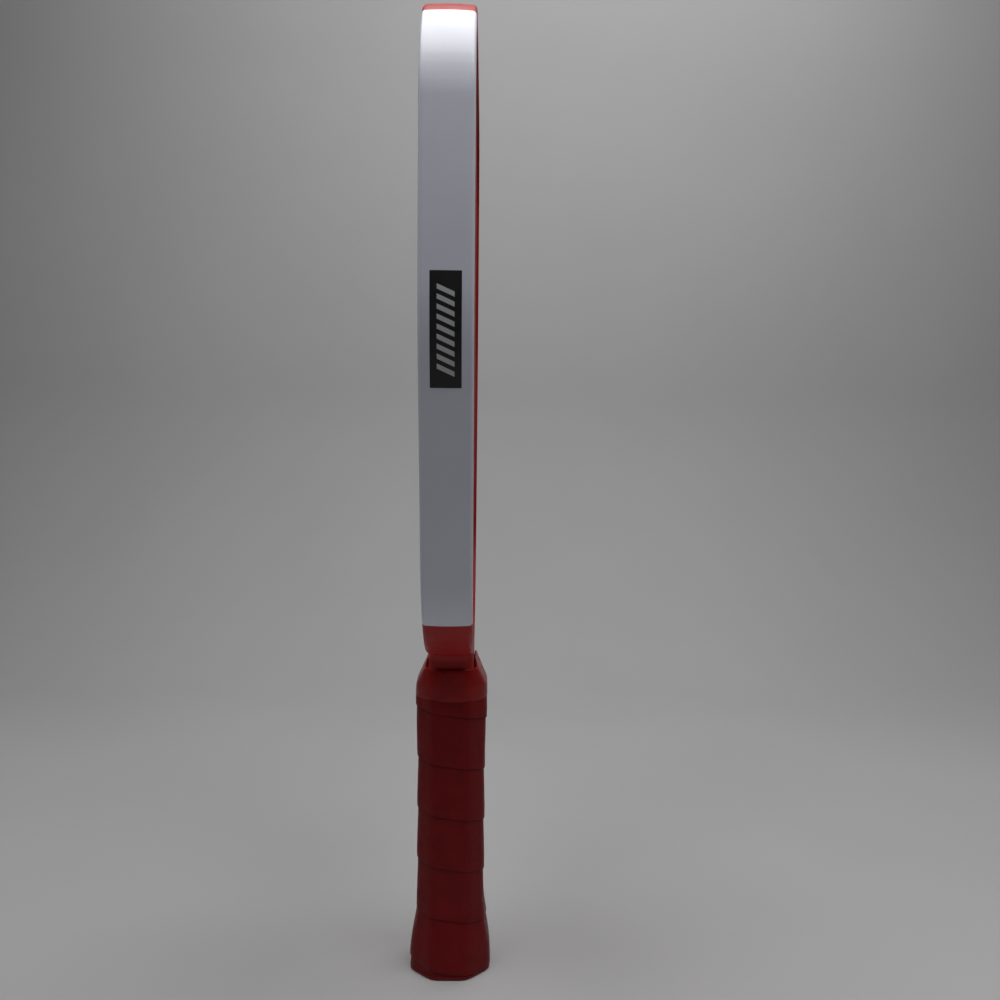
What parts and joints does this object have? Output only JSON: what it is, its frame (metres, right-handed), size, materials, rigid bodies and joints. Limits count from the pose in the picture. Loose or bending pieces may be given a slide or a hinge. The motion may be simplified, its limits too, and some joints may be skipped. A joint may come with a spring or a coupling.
{
  "type": "pickleball paddle",
  "caption": "Pickleball paddle with a honeycomb panel in a red channel frame, white side guards and a spiral-wrapped octagonal grip.",
  "frame": {"origin": "middle of the butt's base, on the surface that the paddle stands on", "axes": "+X is the front face's outward normal, +Y the right edge seen from the front, +Z from the butt to the top of the head"},
  "size_m": [0.0364, 0.2056, 0.4064],
  "materials": {
    "core": "bare polypropylene honeycomb",
    "bond_film": "dry adhesive film",
    "face_red": "fibreglass with a fine gritty red coat",
    "frame_red": "moulded, glossy",
    "guard_white": "moulded white, glossy",
    "label_black": "printed film",
    "foam": "rigid foam",
    "cap_red": "moulded, satin",
    "badge_red": "moulded, satin",
    "staple_steel": "bright wire",
    "wrap_red": "soft synthetic leather, satin",
    "tape_black": "woven tape",
    "collar_red": "moulded rubber, semi-gloss"
  },
  "bodies": {
    "root": {"core_honeycomb": "core", "bond_film_front": "bond_film", "bond_film_back": "bond_film", "face_sheet_front": "face_red", "face_sheet_back": "face_red", "edge_frame": "frame_red", "side_guard_left": "guard_white", "side_guard_right": "guard_white", "side_label_left": "label_black", "side_label_right": "label_black", "handle_pallet_front": "foam", "handle_pallet_back": "foam", "butt_cap": "cap_red", "butt_badge": "badge_red", "butt_cap_staples": "staple_steel", "wrap_staple": "staple_steel", "grip_wrap": "wrap_red", "finishing_tape": "tape_black", "grip_collar": "collar_red"}
  },
  "joints": []
}
